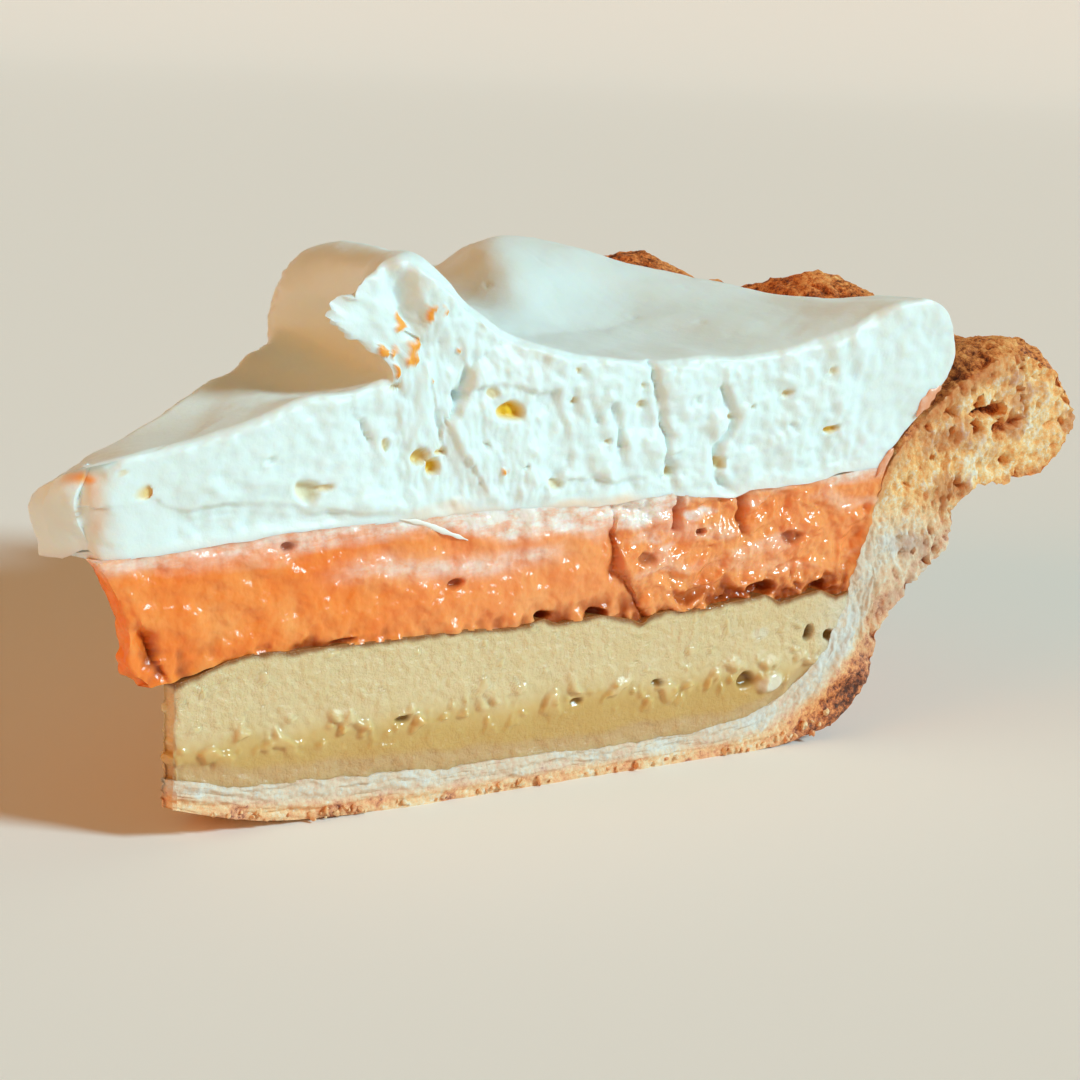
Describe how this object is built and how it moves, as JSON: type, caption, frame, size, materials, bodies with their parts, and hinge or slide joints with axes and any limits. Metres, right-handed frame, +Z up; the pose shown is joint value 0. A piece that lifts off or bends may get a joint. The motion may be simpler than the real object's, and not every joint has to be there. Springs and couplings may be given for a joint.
{
  "type": "slice of candy corn pie",
  "caption": "Cut wedge of layered cream pie: crimped pastry crust, yellow custard, orange pudding and a swirled whipped cream top with a breaking wave.",
  "frame": {"origin": "on the surface the slice stands on, under the middle of its outline", "axes": "+X from the point of the slice to its rim, midway between the two cuts; +Z up; the near cut, which the picture shows, faces -Y"},
  "size_m": [0.1293, 0.0927, 0.057],
  "materials": {
    "pastry": "baked pastry, matt, golden with browned edges",
    "custard": "baked custard, moist satin",
    "orange_pudding": "soft pudding, moist gloss",
    "whipped_cream": "whipped cream, soft satin"
  },
  "bodies": {
    "root": {"crust": "pastry", "custard": "custard", "orange_layer": "orange_pudding", "whipped_cream": "whipped_cream"}
  },
  "joints": []
}
